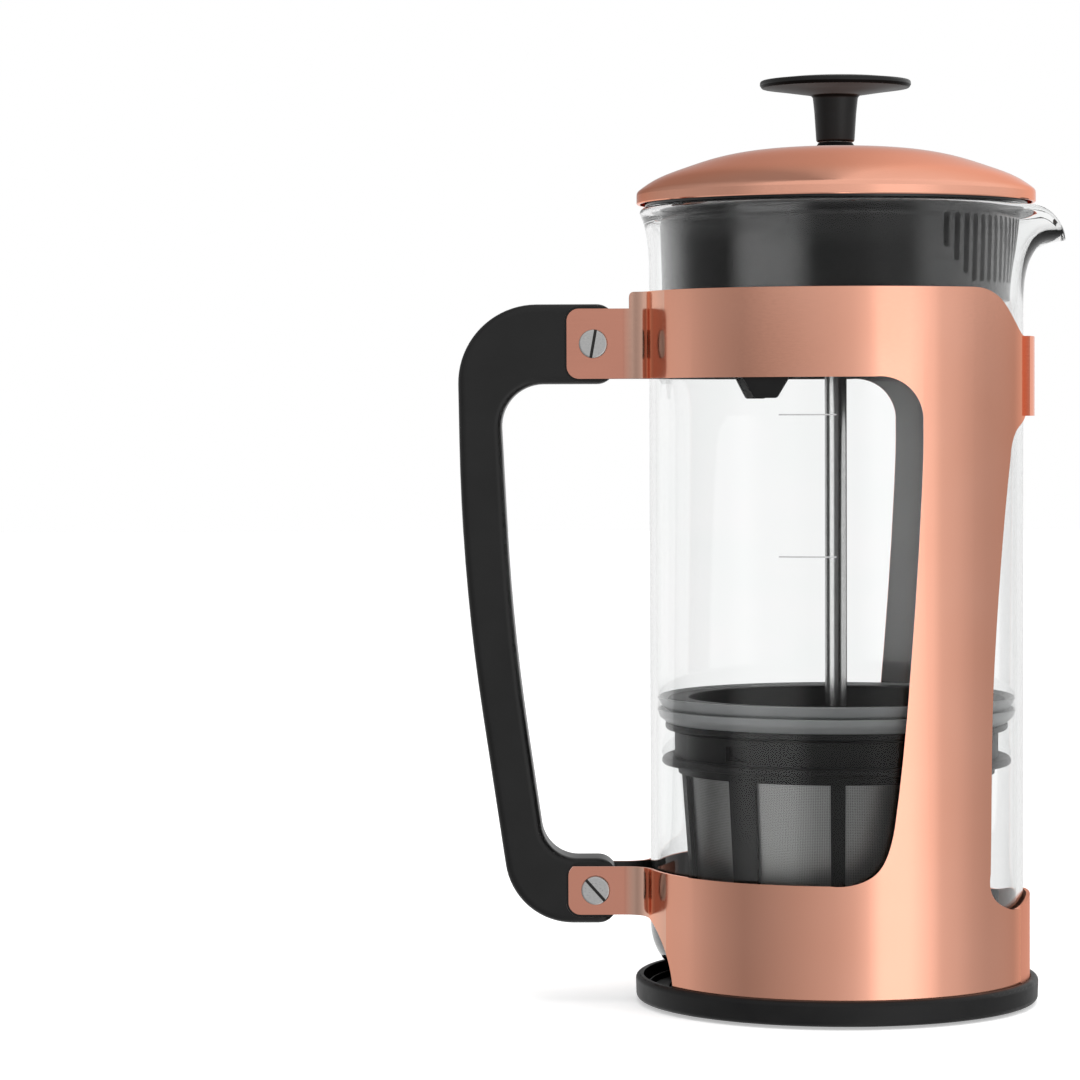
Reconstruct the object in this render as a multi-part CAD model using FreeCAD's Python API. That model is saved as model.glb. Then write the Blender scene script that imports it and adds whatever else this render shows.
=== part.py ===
import FreeCAD, Part
import math
import os

# French press: glass jar in a sheet-metal cage, plastic handle, rubber foot, lid, plunger and two
# filter baskets. Millimetres, +Z up, origin on the jar's axis at the underside of the foot.
# The handle points along -X and the spout along +X; jar, cage and handle mirror in the XZ plane.

# ---- driving dimensions ----
GLASS_R = 50.0            # outer radius of the straight wall
GLASS_WALL = 1.8
GLASS_BOTTOM_Z = 6.4
GLASS_FLOOR = 3.2         # thickness of the glass floor
GLASS_CORNER_R = 14.0     # outer radius of the bottom corner
GLASS_RIM_Z = 213.0
FLARE_START_Z = 196.0
FLARE = 2.5               # how far the rim stands out beyond the wall
# height, how far the spout stands out from the wall, half its width at the wall
SPOUT_SECTIONS = ((190.0, -0.4, 5.0), (196.0, 0.4, 9.0), (200.0, 1.6, 11.0), (201.6, 3.3, 12.2),
                  (202.7, 5.6, 13.0), (203.4, 9.4, 13.6), (204.6, 11.6, 14.2), (207.0, 12.2, 15.0))
SPOUT_LIFT = 1.8          # how far the channel's floor lies above the spout's underside

SHEET = 1.0               # sheet thickness of the cage
CAGE_R = 51.8             # outer radius of the cage
CAGE_TOP_Z = 190.5
CAGE_BOTTOM_Z = 3.8
BAND_BOTTOM_Z = 167.4
RING_TOP_Z = 36.7
BRIDGE_TOP_Z = 178.2
BRIDGE_BOTTOM_Z = 157.1
FRONT_RING_Z = 27.3       # top of the lower ring beside the columns
FRONT_LIP_Z = 29.3        # and below the spout
PAD_R = 53.0              # raised blank pad on the bridge
PAD_HALF_ANGLE = 18.5
TAB_FACE_Y = 7.0          # outer face of the tabs, from the middle plane
TAB_BEND_R = 7.0
TAB_END_X = -72.1
TAB_CORNER_R = 3.3
BAND_END_X = -55.4        # where the full-height band steps down to the tabs
UPPER_TAB_Z = (167.4, 186.1)
LOWER_TAB_Z = (23.8, 37.4)

HANDLE_HALF = 7.5
HANDLE_END_X = -59.1
HANDLE_ROUND = 2.0
UPPER_ARM_Z = (166.0, 187.3)
LOWER_ARM_Z = (21.5, 38.9)
HANDLE_NOSE = 5.0         # corner radius at the arms' ends
POCKET_GAP = 0.6          # between a tab and the recess it lies in
UPPER_SCREW = (-65.0, 176.7)
LOWER_SCREW = (-64.8, 30.4)
SCREW_HEAD_R = 3.85
SCREW_HEAD_H = 1.3
SCREW_SHANK_R = 1.95
NUT_BORE_R = 2.0
NUT_BARREL_R = 2.9
HANDLE_BORE_R = 3.0
SLOT_WIDTH = 0.8
SLOT_DEPTH = 1.0

FOOT_R = 54.1
FOOT_FLOOR_Z = 3.0
FOOT_RIM_Z = 7.2
FOOT_UNDERCUT = 0.65      # how far the foot's rim hangs clear of the table
GLASS_SEAT_R = (31.0, 35.0)
FLOOR_RIDGE_R = (45.0, 46.0)

LID_R = 53.3
LID_BOTTOM_Z = 214.0
LID_TOP_Z = 228.9
LID_SHEET = 0.9
LID_HOLE_R = 5.0
LID_AZIMUTH = -28.0       # the pour slots' middle, with the lid turned part way from the spout
SKIRT_R = 47.2
SKIRT_WALL = 1.8
SKIRT_BOTTOM_Z = 187.5
POUR_SLOT_COUNT = 15
POUR_SLOT_PITCH = 3.16
POUR_SLOT_WIDTH = 1.8
POUR_SLOT_TOP_Z = 210.7
POUR_SLOT_LENGTHS = (9.8, 13.4, 16.6)
POUR_SLOT_LENGTH = 18.6

ROD_R = 2.95
BUSH_BORE_R = 3.0
BUSH_TOP_Z = 230.4
KNOB_R = 20.2
KNOB_TOP_Z = 247.7
KNOB_EDGE_Z = 244.9
KNOB_BOTTOM_Z = 230.5
ROD_SHOULDER_Z = 238.2

SEAL_LIP_R = 48.05        # both lips, pressed in by the glass
SEAL_Z = (75.3, 79.7)     # the seal's root, between the basket's flange and its top rim
LOWER_LIP_Z = 79.2
UPPER_LIP_Z = 82.4
INNER_TOP_Z = 82.0
INNER_FLANGE_Z = 73.4     # underside of the flange below the seal
INNER_FLANGE_R = 45.9
INNER_RIM_R = 45.3
INNER_BORE_R = 39.6
SEAL_SEAT_R = 42.4
INNER_BOTTOM_Z = 27.6
INNER_RIB_TOP_R = 38.9
INNER_RIB_BOTTOM_R = 37.0
INNER_COLLAR_R = 41.0
INNER_WINDOW_Z = (33.0, 66.0)
OUTER_TOP_Z = 73.1
OUTER_BOTTOM_Z = 24.0
OUTER_COLLAR_R = 43.4
OUTER_COLLAR_BORE_R = 41.3
OUTER_FLANGE_R = 46.8
OUTER_FLANGE_Z = (64.2, 66.3)
OUTER_RIB_TOP_R = 42.6
OUTER_RIB_BOTTOM_R = 39.8
OUTER_WINDOW_Z = (28.9, 61.8)
RIB_THICKNESS = 1.2
RIB_COUNT = 10
RIB_WIDTH = 3.4
WIDE_RIB_EXTRA = 4.0      # what one rib is wider than the others
WIDE_RIB_AZIMUTH = -128.5
RIB_MIDDLE_R = 38.0
SPOKE_COUNT = 5
SPOKE_WIDTH = 3.0
MESH = 0.3
LUG_COUNT = 3
LUG_SIZE = (4.8, 3.0)
LUG_HEIGHT = 0.8
LUG_CLEARANCE = 0.3
LUG_Z = 69.1              # middle of a lug
BAYONET_TURN = 20.0       # degrees from locked to free
BAYONET_AZIMUTH = -129.3   # a lug's azimuth with the basket locked
WINDOW_SIZE = (7.2, 3.9)

EPS = 0.01
BIG = 200.0


# ---- helpers ----
def vec(x, y, z):
    return FreeCAD.Vector(x, y, z)


def on_xz(a, b):
    return vec(a, 0, b)


def on_xy(a, b):
    return vec(a, b, 0)


def rounded_wire(corners, place=on_xz):
    """Closed wire through (a, b, radius) corners; a radius above 0 rounds that corner with an arc."""
    starts = []
    ends = []
    mids = []
    count = len(corners)
    for i in range(count):
        ax, ay, radius = corners[i]
        point = vec(ax, ay, 0)
        back = vec(corners[i - 1][0], corners[i - 1][1], 0).sub(point)
        ahead = vec(corners[(i + 1) % count][0], corners[(i + 1) % count][1], 0).sub(point)
        if radius <= 0:
            starts.append(point)
            ends.append(point)
            mids.append(None)
            continue
        back.normalize()
        ahead.normalize()
        half = back.getAngle(ahead) / 2.0
        reach = radius / math.tan(half)
        middle = back.add(ahead)
        middle.normalize()
        starts.append(point + back * reach)
        ends.append(point + ahead * reach)
        mids.append(point + middle * (radius / math.sin(half) - radius))
    edges = []
    for i in range(count):
        if mids[i] is not None:
            arc = Part.Arc(place(starts[i].x, starts[i].y), place(mids[i].x, mids[i].y),
                           place(ends[i].x, ends[i].y))
            edges.append(arc.toShape())
        following = (i + 1) % count
        here = place(ends[i].x, ends[i].y)
        there = place(starts[following].x, starts[following].y)
        if here.distanceToPoint(there) > 1e-6:
            edges.append(Part.LineSegment(here, there).toShape())
    return Part.Wire(edges)


def revolved(corners):
    """Solid of revolution about Z from (r, z, radius) corners."""
    face = Part.Face(rounded_wire(corners))
    return face.revolve(vec(0, 0, 0), vec(0, 0, 1), 360)


def tube(r_in, r_out, z_low, z_high):
    outer = Part.makeCylinder(r_out, z_high - z_low, vec(0, 0, z_low))
    if r_in <= 0:
        return outer
    return outer.cut(Part.makeCylinder(r_in, z_high - z_low, vec(0, 0, z_low)))


def prism_y(corners, y_low, y_high):
    """Extrude rounded (x, z, radius) corners along Y."""
    face = Part.Face(rounded_wire(corners))
    face.translate(vec(0, y_low, 0))
    return face.extrude(vec(0, y_high - y_low, 0))


def turned(shape, degrees):
    copy = shape.copy()
    copy.rotate(vec(0, 0, 0), vec(0, 0, 1), degrees)
    return copy


def mirrored(shape):
    return shape.mirror(vec(0, 0, 0), vec(0, 1, 0))


def spline_edge(points, start_tangent=None, end_tangent=None):
    curve = Part.BSplineCurve()
    if start_tangent is None:
        curve.interpolate(points)
    else:
        curve.interpolate(Points=points, InitialTangent=start_tangent, FinalTangent=end_tangent)
    return curve.toShape()


def sector(r_in, r_out, z_low, z_high, azimuth, width_degrees):
    """Piece of a tube, centred on an azimuth."""
    block = Part.makeCylinder(r_out, z_high - z_low, vec(0, 0, z_low), vec(0, 0, 1), width_degrees)
    block = block.cut(Part.makeCylinder(r_in, z_high - z_low, vec(0, 0, z_low)))
    return turned(block, azimuth - width_degrees / 2.0)


def save(name, shape):
    shape = shape.removeSplitter()
    for solid in shape.Solids:
        if not solid.isValid():
            print("NOT VALID", name)
    if len(shape.Solids) == 1:
        shape = shape.Solids[0]
    shape.exportStep("parts/" + name + ".step")
    box = shape.optimalBoundingBox()
    print("%-22s solids %d volume %9.1f  x %.1f..%.1f y %.1f..%.1f z %.1f..%.1f" % (
        name, len(shape.Solids), shape.Volume, box.XMin, box.XMax, box.YMin, box.YMax,
        box.ZMin, box.ZMax))


# ---- glass jar ----
def spout_section(z, reach, half_width, inset):
    """Closed outline at one height: a beak that starts inside the round wall."""
    root_x = GLASS_R - 7.0
    side = half_width - inset
    tip = GLASS_R + reach - inset
    shoulder = GLASS_R - 1.0 - inset
    middle_x = shoulder + 0.62 * (tip - shoulder)
    points = [vec(root_x, -side, z), vec(shoulder, -0.74 * side, z), vec(middle_x, -0.36 * side, z),
              vec(tip, 0, z), vec(middle_x, 0.36 * side, z), vec(shoulder, 0.74 * side, z),
              vec(root_x, side, z)]
    back = Part.LineSegment(points[-1], points[0]).toShape()
    return Part.Wire([spline_edge(points), back])


def spout(inset, lift):
    """The spout as a solid; inset and lift make its inside."""
    sections = []
    for z, reach, half_width in SPOUT_SECTIONS:
        sections.append(spout_section(z + lift, reach, half_width, inset))
    top_reach, top_width = SPOUT_SECTIONS[-1][1:]
    sections.append(spout_section(GLASS_RIM_Z + 3.0, top_reach + 0.2, top_width, inset))
    return Part.makeLoft(sections, True, True)


def round_body(inset, bottom_z):
    """The jar without its spout, as a solid; inset and bottom_z make its inside."""
    straight = GLASS_R - inset
    return revolved([
        (0, bottom_z, 0),
        (straight, bottom_z, GLASS_CORNER_R - inset),
        (straight, FLARE_START_Z, 30.0),
        (straight + 0.4 * FLARE, GLASS_RIM_Z - 5.5, 12.0),
        (straight + FLARE, GLASS_RIM_Z, 0),
        (0, GLASS_RIM_Z, 0)])


def glass_jar():
    outside = round_body(0.0, GLASS_BOTTOM_Z).fuse(spout(0.0, 0.0))
    inside = round_body(GLASS_WALL, GLASS_BOTTOM_Z + GLASS_FLOOR).fuse(spout(GLASS_WALL, SPOUT_LIFT))
    jar = outside.cut(inside)
    # the rim is level, then falls in a convex curve to the spout's tip
    above = prism_y([
        (-BIG, GLASS_RIM_Z - EPS, 0),
        (54.6, GLASS_RIM_Z - EPS, 5.0),
        (60.4, 208.8, 5.0),
        (62.3, 204.4, 0),
        (70.0, 198.0, 0),
        (70.0, BIG * 1.5, 0),
        (-BIG, BIG * 1.5, 0)], -BIG, BIG)
    return jar.cut(above)


# ---- cage ----
def cage_plan(offset):
    """Points and arcs of one face of the bent sheet, seen from above, from tab end to tab end."""
    radius = CAGE_R - offset
    face_y = TAB_FACE_Y - offset
    bend = TAB_BEND_R + offset
    centre_y = face_y + bend
    centre_x = -math.sqrt((radius + bend) ** 2 - centre_y ** 2)
    touch = radius / (radius + bend)
    bend_start = vec(centre_x, face_y, 0)
    inward = math.atan2(-centre_y, -centre_x)
    middle = (inward - math.pi / 2.0) / 2.0
    bend_mid = vec(centre_x + bend * math.cos(middle), centre_y + bend * math.sin(middle), 0)
    bend_end = vec(centre_x * touch, centre_y * touch, 0)
    end = vec(TAB_END_X - 5.0, face_y, 0)
    far = [Part.LineSegment(end, bend_start).toShape(),
           Part.Arc(bend_start, bend_mid, bend_end).toShape()]
    near_end = vec(end.x, -end.y, 0)
    near = [Part.LineSegment(near_end, vec(bend_start.x, -bend_start.y, 0)).toShape(),
            Part.Arc(vec(bend_start.x, -bend_start.y, 0), vec(bend_mid.x, -bend_mid.y, 0),
                     vec(bend_end.x, -bend_end.y, 0)).toShape()]
    around = Part.Arc(vec(bend_end.x, -bend_end.y, 0), vec(radius, 0, 0), bend_end).toShape()
    return far + near + [around], end, near_end


def bent_sheet():
    outer, outer_far, outer_near = cage_plan(0.0)
    inner, inner_far, inner_near = cage_plan(SHEET)
    ends = [Part.LineSegment(outer_far, inner_far).toShape(),
            Part.LineSegment(outer_near, inner_near).toShape()]
    edges = Part.__sortEdges__(outer + inner + ends)
    face = Part.Face(Part.Wire(edges))
    face.translate(vec(0, 0, CAGE_BOTTOM_Z))
    return face.extrude(vec(0, 0, CAGE_TOP_Z - CAGE_BOTTOM_Z))


def side_profile():
    """What the sheet keeps in side view: the band and ring, and the narrower tabs."""
    top = CAGE_TOP_Z + 1.0
    body = prism_y([
        (BAND_END_X, CAGE_BOTTOM_Z - 1.0, 0),
        (60.0, CAGE_BOTTOM_Z - 1.0, 0),
        (60.0, top, 0),
        (BAND_END_X + 8.0, top, 0),
        (BAND_END_X + 8.0, CAGE_TOP_Z, 0),
        (BAND_END_X, CAGE_TOP_Z, 1.2)], -60.0, 60.0)
    for low, high in (UPPER_TAB_Z, LOWER_TAB_Z):
        tab = prism_y([
            (TAB_END_X, low, TAB_CORNER_R),
            (-45.0, low, 0),
            (-45.0, high, 0),
            (TAB_END_X, high, TAB_CORNER_R)], -60.0, 60.0)
        body = body.fuse(tab)
    return body


def radial_cutter(outline, direction, length=40.0):
    """Prism through the sheet whose (azimuth, z) outline is exact on the cage's outer face.

    The outline is a list of runs; each run is ("line" or "curve", [(azimuth, z), ...]) and starts
    where the one before ended.
    """
    turn = math.radians(direction)
    ahead = vec(math.cos(turn), math.sin(turn), 0)
    aside = vec(-math.sin(turn), math.cos(turn), 0)

    def place(azimuth, z):
        across = CAGE_R * math.sin(math.radians(azimuth) - turn)
        return ahead * 25.0 + aside * across + vec(0, 0, z)

    edges = []
    for kind, points in outline:
        placed = [place(a, z) for a, z in points]
        if kind == "curve":
            edges.append(spline_edge(placed))
        else:
            for first, second in zip(placed, placed[1:]):
                edges.append(Part.LineSegment(first, second).toShape())
    face = Part.Face(Part.Wire(edges))
    return face.extrude(ahead * length)


def front_window():
    """Half of the opening below the bridge."""
    return radial_cutter([
        ("line", [(-2.0, FRONT_LIP_Z), (6.0, FRONT_LIP_Z)]),
        ("curve", [(6.0, FRONT_LIP_Z), (14.0, 28.6), (21.0, 27.6), (29.0, FRONT_RING_Z), (35.0, 28.6),
                   (40.5, 31.2), (42.4, 38.0)]),
        ("curve", [(42.4, 38.0), (42.0, 57.0), (41.3, 83.0), (38.6, 109.0), (34.2, 135.0),
                   (31.4, 146.5)]),
        ("curve", [(31.4, 146.5), (29.8, 150.8), (27.0, 153.4), (23.6, 154.8), (20.7, 155.9),
                   (18.5, BRIDGE_BOTTOM_Z)]),
        ("line", [(18.5, BRIDGE_BOTTOM_Z), (-2.0, BRIDGE_BOTTOM_Z), (-2.0, FRONT_LIP_Z)])], 38.0)


def front_dip():
    """Half of what is cut away above the bridge."""
    return radial_cutter([
        ("line", [(-2.0, CAGE_TOP_Z + 2.0), (-2.0, BRIDGE_TOP_Z), (19.0, BRIDGE_TOP_Z)]),
        ("curve", [(19.0, BRIDGE_TOP_Z), (22.0, 178.5), (25.3, 180.0), (31.5, 184.1), (37.5, 187.8),
                   (42.5, 189.6), (50.0, CAGE_TOP_Z)]),
        ("line", [(50.0, CAGE_TOP_Z), (50.0, CAGE_TOP_Z + 2.0), (-2.0, CAGE_TOP_Z + 2.0)])], 33.0)


def side_window():
    """One side opening, between the column and the handle."""
    return radial_cutter([
        ("line", [(140.0, BAND_BOTTOM_Z), (82.0, BAND_BOTTOM_Z)]),
        ("curve", [(82.0, BAND_BOTTOM_Z), (76.5, 166.9), (72.7, 165.2), (68.9, 161.3), (67.5, 155.5)]),
        ("curve", [(67.5, 155.5), (67.5, 148.5), (68.1, 135.7), (69.1, 120.3), (70.3, 105.0),
                   (71.7, 89.6), (74.0, 68.0), (76.3, 51.8)]),
        ("curve", [(76.3, 51.8), (78.2, 45.0), (81.5, 40.0), (87.0, 37.3), (95.0, RING_TOP_Z)]),
        ("line", [(95.0, RING_TOP_Z), (140.0, RING_TOP_Z), (140.0, BAND_BOTTOM_Z)])], 90.0)


def handle_side_window():
    """The rest of both side openings, straight through behind the handle."""
    return prism_y([
        (CAGE_R * math.cos(math.radians(139.0)), RING_TOP_Z, 0),
        (CAGE_R * math.cos(math.radians(139.0)), BAND_BOTTOM_Z, 0),
        (-90.0, BAND_BOTTOM_Z, 0),
        (-90.0, RING_TOP_Z, 0)], -60.0, 60.0)


def rear_arch():
    """Arched cut in the ring below the lower tabs."""
    arch_r = 20.0
    flat = 8.0
    points = []
    for step in range(7):
        turn = math.radians(15.0 * step)
        arc_length = flat + arch_r * math.sin(turn)
        height = CAGE_BOTTOM_Z + arch_r * math.cos(turn)
        from_handle = arc_length / CAGE_R
        points.append(vec(0, CAGE_R * math.sin(from_handle), height))
    low = CAGE_BOTTOM_Z - 5.0
    edges = [spline_edge(points),
             Part.LineSegment(points[-1], vec(0, points[-1].y, low)).toShape(),
             Part.LineSegment(vec(0, points[-1].y, low), vec(0, -2.0, low)).toShape(),
             Part.LineSegment(vec(0, -2.0, low), vec(0, -2.0, points[0].z)).toShape(),
             Part.LineSegment(vec(0, -2.0, points[0].z), points[0]).toShape()]
    face = Part.Face(Part.Wire(edges))
    return face.extrude(vec(-90.0, 0, 0))


def cage_frame():
    cage = bent_sheet().common(side_profile())
    pad = sector(CAGE_R - SHEET / 2.0, PAD_R, BRIDGE_BOTTOM_Z, BRIDGE_TOP_Z, 0.0, 2 * PAD_HALF_ANGLE)
    for cutter in (front_window(), front_dip(), side_window(), rear_arch()):
        cage = cage.cut(cutter)
        cage = cage.cut(mirrored(cutter))
    cage = cage.cut(handle_side_window())
    cage = cage.fuse(pad)
    for x, z in (UPPER_SCREW, LOWER_SCREW):
        cage = cage.cut(Part.makeCylinder(HANDLE_BORE_R + 0.1, 40.0, vec(x, -20.0, z), vec(0, 1, 0)))
    return cage


# ---- handle and its fasteners ----
def handle_outline():
    """Side view of the handle: two short arms and a gently bowed grip."""
    return rounded_wire([
        (HANDLE_END_X, UPPER_ARM_Z[1], HANDLE_NOSE),
        (HANDLE_END_X, UPPER_ARM_Z[0], HANDLE_NOSE),
        (-90.3, UPPER_ARM_Z[0], 11.3),
        (-86.9, 100.0, 600.0),
        (-78.0, LOWER_ARM_Z[1], 10.0),
        (HANDLE_END_X, LOWER_ARM_Z[1], HANDLE_NOSE),
        (HANDLE_END_X, LOWER_ARM_Z[0], HANDLE_NOSE),
        (-86.6, LOWER_ARM_Z[0], 18.3),
        (-100.3, 114.0, 560.0),
        (-101.5, UPPER_ARM_Z[1], 21.0)])


def handle():
    face = Part.Face(handle_outline())
    face.translate(vec(0, -HANDLE_HALF, 0))
    grip = face.extrude(vec(0, 2 * HANDLE_HALF, 0))
    edges = [edge for edge in grip.Edges if edge.BoundBox.YLength < EPS]
    grip = grip.makeFillet(HANDLE_ROUND, edges)
    face_y = TAB_FACE_Y - SHEET
    end_x = TAB_END_X - POCKET_GAP
    corner_r = TAB_CORNER_R + POCKET_GAP
    for low, high in (UPPER_TAB_Z, LOWER_TAB_Z):
        pocket = [
            (end_x, low - POCKET_GAP, corner_r),
            (-50.0, low - POCKET_GAP, 0),
            (-50.0, high + POCKET_GAP, 0),
            (end_x, high + POCKET_GAP, corner_r)]
        grip = grip.cut(prism_y(pocket, -HANDLE_HALF - 1.0, -face_y))
        grip = grip.cut(prism_y(pocket, face_y, HANDLE_HALF + 1.0))
    for x, z in (UPPER_SCREW, LOWER_SCREW):
        grip = grip.cut(Part.makeCylinder(HANDLE_BORE_R, 40.0, vec(x, -20.0, z), vec(0, 1, 0)))
    return grip


def screw_head():
    """Low domed head, axis along +Y from its seat at the origin."""
    face = Part.Face(rounded_wire([
        (0, 0, 0),
        (SCREW_HEAD_R, 0, 0),
        (SCREW_HEAD_R, SCREW_HEAD_H, 0.5),
        (0, SCREW_HEAD_H, 0)], on_xy))
    return face.revolve(vec(0, 0, 0), vec(0, 1, 0), 360)


def handle_screw(place, slot_angle):
    """Slotted screw on the near side, its head on the tab at negative Y."""
    x, z = place
    head = screw_head()
    slot = Part.makeBox(2 * SCREW_HEAD_R + 2, SLOT_DEPTH + 1, SLOT_WIDTH,
                        vec(-SCREW_HEAD_R - 1, SCREW_HEAD_H - SLOT_DEPTH, -SLOT_WIDTH / 2.0))
    slot.rotate(vec(0, 0, 0), vec(0, 1, 0), slot_angle)
    head = head.cut(slot)
    head.rotate(vec(0, 0, 0), vec(0, 0, 1), 180)
    shank = Part.makeCylinder(SCREW_SHANK_R, TAB_FACE_Y + 4.0, vec(0, 0, 0), vec(0, 1, 0))
    screw = head.fuse(shank)
    screw.translate(vec(x, -TAB_FACE_Y, z))
    return screw


def handle_nut(place):
    """Sleeve nut on the far side; its barrel runs through the handle's bore."""
    x, z = place
    nut = screw_head()
    slot = Part.makeBox(2 * SCREW_HEAD_R + 2, SLOT_DEPTH + 1, SLOT_WIDTH,
                        vec(-SCREW_HEAD_R - 1, SCREW_HEAD_H - SLOT_DEPTH, -SLOT_WIDTH / 2.0))
    slot.rotate(vec(0, 0, 0), vec(0, 1, 0), 35.0)
    nut = nut.cut(slot)
    length = 2 * TAB_FACE_Y - 1.0
    barrel = Part.makeCylinder(NUT_BARREL_R, length, vec(0, -length, 0), vec(0, 1, 0))
    bore = Part.makeCylinder(NUT_BORE_R, length - 1.5, vec(0, -length, 0), vec(0, 1, 0))
    nut = nut.fuse(barrel).cut(bore)
    nut.translate(vec(x, TAB_FACE_Y, z))
    return nut


# ---- foot and bumpers ----
def base_foot():
    groove_in = CAGE_R - SHEET - 0.1
    groove_out = CAGE_R + 0.1
    groove_z = CAGE_BOTTOM_Z - 0.2
    foot = revolved([
        (0, 0, 0),
        (41.0, 0, 0.3),
        (41.6, 0.9, 0.3),
        (44.4, 0.9, 0.3),
        (45.0, 0, 0.3),
        (48.6, 0, 0.3),
        (49.2, FOOT_UNDERCUT, 0.3),
        (FOOT_R - 0.2, FOOT_UNDERCUT, 1.4),
        (FOOT_R, FOOT_RIM_Z, 1.3),
        (groove_out, FOOT_RIM_Z, 0.3),
        (groove_out, groove_z, 0),
        (groove_in, groove_z, 0),
        (groove_in, 4.6, 0.2),
        (groove_in - 0.5, 4.6, 0.2),
        (groove_in - 0.9, FOOT_FLOOR_Z, 0),
        (0, FOOT_FLOOR_Z, 0)])
    seat = tube(GLASS_SEAT_R[0], GLASS_SEAT_R[1], FOOT_FLOOR_Z - 0.5, GLASS_BOTTOM_Z)
    ridge = tube(FLOOR_RIDGE_R[0], FLOOR_RIDGE_R[1], FOOT_FLOOR_Z - 0.5, FOOT_FLOOR_Z + 0.6)
    return foot.fuse([seat, ridge])


def glass_bumper(side):
    """Tapered pad between band and glass; its tongue hangs below the band."""
    pad = tube(GLASS_R + 0.05, CAGE_R - SHEET - 0.05, 160.0, 186.0)
    outline = prism_y([
        (-3.0, BAND_BOTTOM_Z - 5.4, 1.2),
        (3.0, BAND_BOTTOM_Z - 5.4, 1.2),
        (6.6, BAND_BOTTOM_Z + 0.4, 0),
        (6.6, 184.0, 2.0),
        (-6.6, 184.0, 2.0),
        (-6.6, BAND_BOTTOM_Z + 0.4, 0)], 0.0, 60.0)
    pad = pad.common(turned(outline, 114.0 - 90.0))
    if side < 0:
        pad = mirrored(pad)
    return pad


# ---- lid ----
def lid_cover():
    """Spun dome with an upright rim, a constant sheet thickness and a hole for the bush."""
    rim_r = LID_R - LID_SHEET
    outer = [(LID_R, 216.4), (52.4, 217.9), (49.8, 219.7), (41.7, 223.2), (32.7, 226.1), (19.0, 228.4),
             (LID_HOLE_R, LID_TOP_Z)]
    inner = [(rim_r, 216.2), (51.7, 217.3), (49.4, 218.9), (41.4, 222.3), (32.5, 225.2), (18.9, 227.5),
             (LID_HOLE_R, LID_TOP_Z - LID_SHEET)]
    # both profiles are drawn outward from the hole, level there and upright at the rim
    outer_edge = spline_edge([on_xz(r, z) for r, z in reversed(outer)], vec(1, 0, 0), vec(0, 0, -1))
    inner_edge = spline_edge([on_xz(r, z) for r, z in reversed(inner)], vec(1, 0, 0), vec(0, 0, -1))
    corner = 0.25
    lip_z = LID_BOTTOM_Z + corner
    edges = [
        Part.LineSegment(on_xz(LID_R, lip_z), on_xz(LID_R, outer[0][1])).toShape(),
        outer_edge,
        Part.LineSegment(on_xz(LID_HOLE_R, LID_TOP_Z), on_xz(LID_HOLE_R, inner[-1][1])).toShape(),
        inner_edge,
        Part.LineSegment(on_xz(rim_r, inner[0][1]), on_xz(rim_r, LID_BOTTOM_Z)).toShape(),
        Part.LineSegment(on_xz(rim_r, LID_BOTTOM_Z), on_xz(LID_R - corner, LID_BOTTOM_Z)).toShape(),
        Part.LineSegment(on_xz(LID_R - corner, LID_BOTTOM_Z), on_xz(LID_R, lip_z)).toShape()]
    face = Part.Face(Part.Wire(edges))
    return face.revolve(vec(0, 0, 0), vec(0, 0, 1), 360)


def skirt_slots():
    """Round-ended pour slots, all cut in one direction."""
    cutters = []
    middle = (POUR_SLOT_COUNT - 1) / 2.0
    half = POUR_SLOT_WIDTH / 2.0
    for i in range(POUR_SLOT_COUNT):
        from_end = min(i, POUR_SLOT_COUNT - 1 - i)
        length = POUR_SLOT_LENGTH
        if from_end < len(POUR_SLOT_LENGTHS):
            length = POUR_SLOT_LENGTHS[from_end]
        y = (i - middle) * POUR_SLOT_PITCH
        low = POUR_SLOT_TOP_Z - length + half
        high = POUR_SLOT_TOP_Z - half
        slot = Part.makeBox(40.0, POUR_SLOT_WIDTH, high - low, vec(20.0, y - half, low))
        for z in (low, high):
            slot = slot.fuse(Part.makeCylinder(half, 40.0, vec(20.0, y, z), vec(1, 0, 0)))
        cutters.append(turned(slot, LID_AZIMUTH))
    return cutters


def lid_skirt():
    skirt = revolved([
        (46.4, SKIRT_BOTTOM_Z, 0.4),
        (SKIRT_R - 0.1, 211.5, 0),
        (SKIRT_R, 213.3, 0),
        (51.0, 213.3, 0.3),
        (51.2, 216.0, 0.5),
        (43.5, 219.6, 1.0),
        (24.0, 224.0, 2.0),
        (10.0, 225.4, 0),
        (5.6, 225.4, 0),
        (5.6, 223.2, 0),
        (10.0, 223.2, 0),
        (24.0, 221.8, 2.0),
        (SKIRT_R - SKIRT_WALL, 216.6, 2.0),
        (SKIRT_R - SKIRT_WALL - 0.7, SKIRT_BOTTOM_Z, 0.4)])
    for slot in skirt_slots():
        skirt = skirt.cut(slot)
    return skirt


def lid_bush():
    """Bush through the crown: cone above the cover, neck through it, snap flange below."""
    return revolved([
        (BUSH_BORE_R, 219.0, 0.3),
        (8.0, 219.0, 0.5),
        (8.0, 222.8, 0.5),
        (LID_HOLE_R - 0.1, 222.8, 0),
        (LID_HOLE_R - 0.1, LID_TOP_Z + 0.05, 0),
        (5.4, LID_TOP_Z + 0.05, 0.2),
        (4.5, BUSH_TOP_Z, 0.4),
        (BUSH_BORE_R, BUSH_TOP_Z, 0.3)])


def lid_retainer():
    """Ring that clamps cover and skirt, between the skirt's crown and the cover."""
    return revolved([
        (5.6, 225.5, 0),
        (9.5, 225.5, 0.4),
        (9.5, 227.7, 0.4),
        (5.6, 227.9, 0)])


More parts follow.
